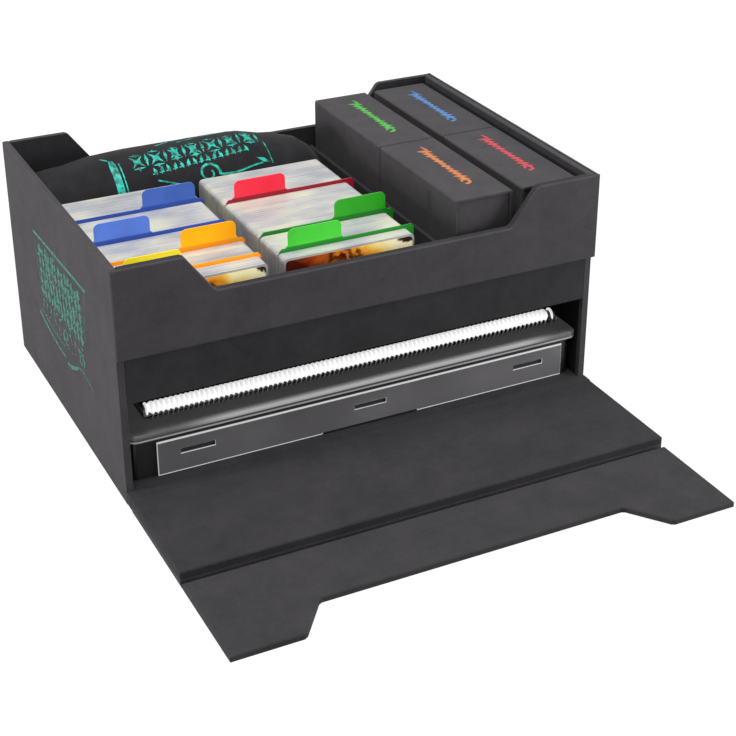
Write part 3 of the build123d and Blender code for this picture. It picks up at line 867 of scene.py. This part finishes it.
def makeFrontCard(name, node):
    # a printed face just inside the first sleeve, seen over the front wall
    low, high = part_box(node)
    bm = bmesh.new()
    size = Vector((high.x - low.x - frontCard["side"] * mm, frontCard["thick"] * mm,
                   high.z - low.z - (frontCard["top"] + cards["below"]) * mm))
    place = Vector(((low.x + high.x) / 2, low.y + frontCard["behind"] * mm,
                    low.z + size.z / 2 + frontCard["foot"] * mm))
    addBox(bm, place, size)
    corners = [e for e in bm.edges if e.calc_length() < 2 * frontCard["thick"] * mm]
    roundOff(bm, corners, frontCard["corner"], 4)
    newPiece(name, bm, makeCardPrint(name + "Print", low, high), bodyOf(node))


stacks = sorted(n for n in nodes if "_cards_" in n)
for node in stacks:
    makeCards(node)
for column in ("left", "right"):
    makeFrontCard(column + "FrontCard", [s for s in stacks if s.startswith(column)][-1])
print("cards stacked:", len(stacks), "stacks")


# printed and foiled marks: flat strokes, drawn as a pen would and laid on their surface

inkLayer = {"thickness": 0.006, "count": 23}


def wayOf(heading):
    return Vector((math.cos(math.radians(heading)), math.sin(math.radians(heading)), 0))


def drawStroke(bm, start, heading, width, steps):
    # each step is (length, turn in degrees, how much the nib widens)
    across = Vector((-math.sin(math.radians(heading)), math.cos(math.radians(heading)), 0))
    # strokes that cross lie on each other like coats of ink
    layer = bm.verts.layers.int.get("stroke") or bm.verts.layers.int.new("stroke")
    number = max((v[layer] for v in bm.verts), default=0) + 1
    centre = Vector((*start, number % inkLayer["count"] * inkLayer["thickness"]))
    nib = bm.edges.new([bm.verts.new(centre + across * side * width / 2) for side in (-1, 1)])
    for vert in nib.verts:
        vert[layer] = number
    for length, turn, widen in steps:
        drawn = bmesh.ops.extrude_edge_only(bm, edges=[nib])["geom"]
        verts = vertsOf(drawn)
        nib = next(e for e in edgesOf(drawn) if all(v in verts for v in e.verts))
        way = wayOf(heading)
        bmesh.ops.translate(bm, verts=verts, vec=way * length)
        centre = centre + way * length
        heading += turn
        bmesh.ops.rotate(bm, verts=verts, cent=centre, matrix=Matrix.Rotation(math.radians(turn), 3, "Z"))
        bmesh.ops.scale(bm, verts=verts, vec=(widen,) * 3, space=Matrix.Translation(-centre))


def drawStrokes(bm, strokes, shift=0):
    for (x, y), heading, width, steps in strokes:
        drawStroke(bm, (shift + x, y), heading, width, steps)


def drawLine(bm, start, end, width):
    way = Vector(end) - Vector(start)
    heading = math.degrees(math.atan2(way.y, way.x))
    drawStroke(bm, start, heading, width, [(way.length, 0, 1)])


def drawLozenge(bm, centre, length, width, heading=0, swell=12):
    start = Vector(centre) - wayOf(heading).to_2d() * length / 2
    drawStroke(bm, start, heading, width * 0.08, [(length / 2, 0, swell), (length / 2, 0, 1 / swell)])


def drawScroll(bm, start, heading, width, radius, turns, side=1):
    # a curl that tightens towards its middle and thins as it goes
    count = max(8, round(turns * 16))
    steps = []
    for n in range(count):
        tight = radius * (1 - 0.75 * n / count)
        turn = 360 * turns / count
        steps.append((tight * math.radians(turn), side * turn, 0.97))
    drawStroke(bm, start, heading, width, steps)


def layFlat(bm, origin, across, up, lift):
    # from the drawing in millimetres to a face of the object
    across, up = Vector(across), Vector(up)
    out = across.cross(up)
    axes = Matrix((across, up, out)).transposed().to_4x4()
    place = Matrix.Translation(Vector(origin) + out * lift * mm) @ axes @ Matrix.Scale(mm, 4)
    bmesh.ops.recalc_face_normals(bm, faces=bm.faces)
    for face in bm.faces:
        face.normal_update()
    bmesh.ops.reverse_faces(bm, faces=[f for f in bm.faces if f.normal.z < 0])
    bmesh.ops.transform(bm, matrix=place, verts=bm.verts)


def makeInk(name, dark, light, roughness, grain):
    # screen-printed ink or foil: pressed into the nap, so it breaks up a little
    return makeClouded(name, {"Roughness": roughness, "Metallic": 0.25, "Specular IOR Level": 0.5},
                       dark, light, grain, span=(0.38, 0.6))


# a mark on each deck box, where the box has its title

deckMark = {
    "length": 66.0, "height": 10.0,
    "lift": 0.05,
    "shift": 2.0,  # to the right of the middle of the cover
    "middle": {"green": 60.5, "blue": 60.5, "red": -47.5, "orange": -49.5},
    "links": 12, "lean": 66,
    "line": 2.4, "lineInset": 4,
    "head": ((1, 2.4), 12, 2.4, 8),
    "tail": ((3, -3.4), 90, 2.6, 4.2, 0.9),
}
deckInks = {
    tone: makeInk(tone + "Foil", dark, light, 0.45, 2.0) for tone, dark, light in (
        ("green", "#2f9426", "#48bd38"), ("orange", "#b96a34", "#e0803f"),
        ("blue", "#3568a4", "#4c86cc"), ("red", "#b82c38", "#d63b49"))}


def makeDeckMark(tone):
    # a close braid of leaning lozenges that swells at both ends
    low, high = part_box(tone + "_deck_cover")
    bm = bmesh.new()
    links, end = deckMark["links"], deckMark["length"] / 2
    spacing = deckMark["length"] / (links + 1)
    for n in range(links):
        swell = abs(2 * n / (links - 1) - 1)
        tall = deckMark["height"] * (0.7 + 0.4 * swell ** 2) * (1.0 if n % 2 == 0 else 0.8)
        drawLozenge(bm, ((n + 1) * spacing - end, 0), tall, spacing * 1.05, deckMark["lean"])
    lineEnd = end - deckMark["lineInset"]
    drawLine(bm, (-lineEnd, 0), (lineEnd, 0), deckMark["line"])
    (x, y), *head = deckMark["head"]
    drawLozenge(bm, (x - end, y), *head)
    (x, y), *tail = deckMark["tail"]
    drawScroll(bm, (end + x, y), *tail)
    middle = Vector(((low.x + high.x) / 2 + deckMark["shift"] * mm, deckMark["middle"][tone] * mm, high.z))
    layFlat(bm, middle, (0, -1, 0), (1, 0, 0), deckMark["lift"])
    newPiece(tone + "DeckMark", bm, deckInks[tone], bodyOf(tone + "_deck_cover"))


for tone in deckInks:
    makeDeckMark(tone)


# a worn lattice under a bold rule, with a sweep and a flourish below, on the left wall

sidePrint = {
    "across": (-46.0, 50.0),  # the dense field, mm towards the front from the middle
    "up": (76.0, 114.0),
    "columns": 13, "rows": 5,
    "climb": 0.2,  # each column stands this much higher than the last
    "specks": 120,
    "leaves": 11,
    "lift": 0.05,
    "rules": (((-55, 119), (63, 123.5), 2.2), ((59, 119), (54, 84), 0.5), ((-52, 115), (-47, 86), 0.6)),
    "sweeps": (((-57, 58), -16, 2.6, [(6, 1.6, 0.98)] * 10), ((-50, 62), -14, 1.0, [(6, 2.2, 0.98)] * 9)),
    "scrolls": (((12, 62), 200, 1.6, 6, 1.3, -1), ((46, 62), 80, 1.6, 5, 1.2, 1)),
    "flourish": (((6, 46), 4, 2.2, [(4, 6, 1.12)] * 3 + [(4, 2, 0.9)] * 4),
                 ((33, 56), 4, 1.6, [(5, -4, 0.86)] * 6)),
}
sidePrintInk = makeInk("tealFoilOnSuede", "#2c4845", "#258a74", 0.6, 2.6)


def makeSidePrint():
    bm = bmesh.new()
    rng = random.Random(7)
    left, right = sidePrint["across"]
    low, high = sidePrint["up"]
    for rule in sidePrint["rules"]:
        drawLine(bm, *rule)
    wide = (right - left) / sidePrint["columns"]
    tall = (high - low) / sidePrint["rows"]
    for i in range(sidePrint["columns"]):
        for j in range(sidePrint["rows"]):
            x = left + (i + 0.5) * wide + rng.uniform(-0.8, 0.8)
            y = low + (j + 0.5) * tall + i * sidePrint["climb"] + rng.uniform(-1, 1)
            if (i + j) % 2 == 0:
                drawLozenge(bm, (x, y), tall * 1.25, wide * rng.uniform(0.75, 1.15), 90 + rng.uniform(-8, 8))
            else:
                for lean in (-34, 34):
                    drawLozenge(bm, (x, y), tall * 1.2, rng.uniform(2.4, 3.6), 90 + lean)
                drawLozenge(bm, (x, y), wide * 1.1, 2.2, rng.uniform(-12, 12))
    for n in range(sidePrint["specks"]):
        x, y = rng.uniform(left, right + 2), rng.uniform(low - 6, high + 3)
        drawLozenge(bm, (x, y), rng.uniform(2.5, 6.5), rng.uniform(1.2, 3.0), rng.uniform(-30, 30))
    for n in range(sidePrint["leaves"]):
        upper = (-44 + n * 9.2, 68 + 3 * math.sin(n))
        drawLozenge(bm, upper, rng.uniform(6, 11), 2.2, 90 + rng.uniform(-20, 20))
        lower = (-40 + n * 8.6, 61 + 2 * math.sin(n * 1.7))
        drawLozenge(bm, lower, rng.uniform(4, 8), 1.4, rng.uniform(-25, 25))
    drawStrokes(bm, sidePrint["sweeps"])
    for scroll in sidePrint["scrolls"]:
        drawScroll(bm, *scroll)
    drawStrokes(bm, sidePrint["flourish"])
    layFlat(bm, (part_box("left_wall")[0].x, 0, 0), (0, -1, 0), (0, 0, 1), sidePrint["lift"])
    newPiece("sideWallPrint", bm, sidePrintInk, bodyOf("left_wall"))


makeSidePrint()


# on the mat: a thick band, a climbing chain of rosettes over a row of leaves, a ring with a tail

matPrint = {
    "band": -106.5,  # the places of the strokes count from the band, mm
    "lift": 0.08,
    "bandStrokes": (((0, 15), 91, 5.2, [(3.4, 0, 1.0)] * 8 + [(2.0, 0, 0.8)] * 3),
                    ((4.6, 13), 91, 0.8, [(3.4, 0, 1.0)] * 9),
                    ((0, 46), 128, 1.3, [(2.4, 4, 0.95)] * 4)),
    "rosettes": 7, "rosetteFrom": (17, 41.5), "rosetteStep": (14.2, 1.3),
    "petals": ((17, 5.4, 90), (14, 3.0, 50), (14, 3.0, 130)),
    "tips": ((-6.2, 9, 2.0, 4), (6.4, 8, 1.6, -4)),
    "leaves": 15, "leafStep": (5.0, 0.48),
    "ring": ((72.5, 20.5), 90, 2.2, 8, 1.2, 1),
    "ringTail": (((72.5, 21), -8, 1.4, [(3.4, 4, 1.0)] * 5 + [(3.4, 1, 0.95)] * 5),),
    "arrow": (0.5, 27.5),  # this place counts from the middle of the box
    "endStrokes": (((113.5, 25), 92, 1.0, [(3.0, 0, 1.0)] * 7),
                   ((36, 58), 22, 1.3, [(4.4, -0.9, 1.0)] * 14),
                   ((52, 58), 14, 0.9, [(4.4, -0.5, 1.0)] * 11),
                   ((27, 24), -20, 1.2, [(3.4, 0.5, 0.95)] * 6)),
}
matPrintInk = makeInk("tealInkOnCloth", "#0a5a4e", "#16c4b2", 0.5, 4.0)


def onRoll(along, up, layer):
    # up is the way over the roll from its foremost line, across the top and down the back
    radius = matRadius + (matPrint["lift"] + layer) * mm
    angle = up * mm / matRadius
    return Vector((along * mm, matUpper.y - radius * math.cos(angle), matUpper.z + radius * math.sin(angle)))


def makeMatPrint():
    bm = bmesh.new()
    band = matPrint["band"]
    drawStrokes(bm, matPrint["bandStrokes"], band)
    (fromX, fromY), (stepX, stepY) = matPrint["rosetteFrom"], matPrint["rosetteStep"]
    for n in range(matPrint["rosettes"]):
        x, y = band + fromX + n * stepX, fromY + n * stepY
        size = 1 + 0.12 * math.sin(n * 2.1)
        for length, width, heading in matPrint["petals"]:
            drawLozenge(bm, (x, y), length * size, width, heading)
        for rise, length, width, heading in matPrint["tips"]:
            drawLozenge(bm, (x, y + rise * size), length, width, heading)
        drawLozenge(bm, (x + stepX / 2, y + 1), 13, 2.6, 84)
    stepX, stepY = matPrint["leafStep"]
    for n in range(matPrint["leaves"]):
        x, y = band + n * stepX, n * stepY
        drawLozenge(bm, (x + 27, y + 31), 6.5, 2.7, 76 if n % 2 else 104)
        drawLine(bm, (x + 24.6, y + 29), (x + 28.4, y + 29.4), 0.8)
    (x, y), *ring = matPrint["ring"]
    drawScroll(bm, (band + x, y), *ring)
    drawStrokes(bm, matPrint["ringTail"], band)
    drawLozenge(bm, matPrint["arrow"], 10, 3.8, -18)
    drawStrokes(bm, matPrint["endStrokes"], band)
    for vert in bm.verts:
        vert.co = onRoll(*vert.co)
    sagMat(bm.verts)
    for face in bm.faces:
        face.normal_update()
    middles = {f: f.calc_center_median() for f in bm.faces}
    inward = [f for f, middle in middles.items()
              if f.normal.dot(middle - Vector((middle.x, matUpper.y, matUpper.z))) < 0]
    bmesh.ops.reverse_faces(bm, faces=inward)
    newPiece("matPrint", bm, matPrintInk, bodyOf("mat_roll"))


makeMatPrint()
print("marks laid")


# floor, light and camera

studio = {
    "paper": 6,  # half the paper sweep, m
    "drop": 0.3,  # it lies this far under the box, mm
    "near": (0.3, 0.5),  # the shadow shows within these distances of the middle, m
    "nearShare": 0.93,
    "paperGlow": 1.07,
    "sky": 1.05,
    "ambient": 0.2,
    "aim": (0, 0, 0.08),
}


def isSeen(material):
    # 1 for rays that show the backdrop itself, 0 for those that light the box with it
    rays = addNode(material, "LightPath")
    shiny = addNode(material, "Math", {
        0: rays.outputs["Is Camera Ray"], 1: rays.outputs["Is Glossy Ray"]}, operation="MAXIMUM")
    clear = addNode(material, "Math", {
        0: shiny.outputs[0], 1: rays.outputs["Is Transmission Ray"]}, operation="MAXIMUM")
    return clear.outputs[0]


def makeFloor():
    # white paper sweep: plain white to the camera further out, a soft shadow close to the box
    bm = bmesh.new()
    bmesh.ops.create_grid(bm, x_segments=4, y_segments=4, size=studio["paper"])
    bmesh.ops.translate(bm, verts=bm.verts, vec=(0, 0, -studio["drop"] * mm))
    material = newMaterial("whitePaper", {
        "Base Color": "#b8b8b8", "Roughness": 0.9, "Specular IOR Level": 0.0})
    place = addNode(material, "TexCoord").outputs["Object"]
    reach = addNode(material, "VectorMath", {0: place}, operation="LENGTH")
    near = addNode(material, "MapRange", {
        "Value": reach.outputs["Value"], 1: studio["near"][0], 2: studio["near"][1],
        3: studio["nearShare"], 4: 1.0})
    share = addNode(material, "Math", {0: isSeen(material), 1: near.outputs[0]}, operation="MULTIPLY")
    glow = addNode(material, "Emission", {"Color": "#ffffff", "Strength": studio["paperGlow"]})
    mix = addNode(material, "MixShader", {
        0: share.outputs[0], 1: surfaceOf(material).outputs[0], 2: glow.outputs[0]})
    tree = material.node_tree
    tree.links.new(mix.outputs[0], tree.nodes["Material Output"].inputs["Surface"])
    floor = newPiece("floor", bm, material, None)


def makeSky():
    world = bpy.data.worlds.new("studio")
    bpy.context.scene.world = world
    world.use_nodes = True
    tree = world.node_tree
    ambient = tree.nodes["Background"]
    setInput(tree, ambient.inputs["Color"], "#ffffff")
    setInput(tree, ambient.inputs["Strength"], studio["ambient"])
    white = addNode(world, "Background", {"Color": "#ffffff", "Strength": studio["sky"]})
    mix = addNode(world, "MixShader", {0: isSeen(world), 1: ambient.outputs[0], 2: white.outputs[0]})
    tree.links.new(mix.outputs[0], tree.nodes["World Output"].inputs["Surface"])


def addLamp(name, way, distance, size, power):
    light = bpy.data.lights.new(name, "AREA")
    light.shape = "DISK"
    light.size = size
    light.energy = power
    lamp = addObject(name, light)
    lamp.location = Vector(studio["aim"]) + Vector(way).normalized() * distance
    lamp.rotation_euler = (-Vector(way)).to_track_quat("-Z", "Y").to_euler()


def addCamera():
    # the lens and place were fitted to the straight edges of the box
    camera = bpy.data.cameras.new("camera")
    camera.lens = 78.75
    camera.sensor_width = 36
    camera.shift_x = -0.01004
    camera.shift_y = -0.0994
    viewer = addObject("camera", camera)
    viewer.location = (-0.40885, -0.94385, 0.5605)
    viewer.rotation_euler = Euler([math.radians(a) for a in (63.8899, -0.027, -26.5874)])
    bpy.context.scene.camera = viewer


makeFloor()
makeSky()
addLamp("topLamp", (-0.1, -0.12, 1), 1.6, 1.2, 22)
addLamp("leftLamp", (-1, 0.05, 0.11), 1.5, 0.25, 10.5)
addLamp("rightFrontLamp", (0.76, -0.64, 0.14), 1.15, 0.5, 6)
addCamera()
bpy.context.scene.view_settings.view_transform = "Standard"
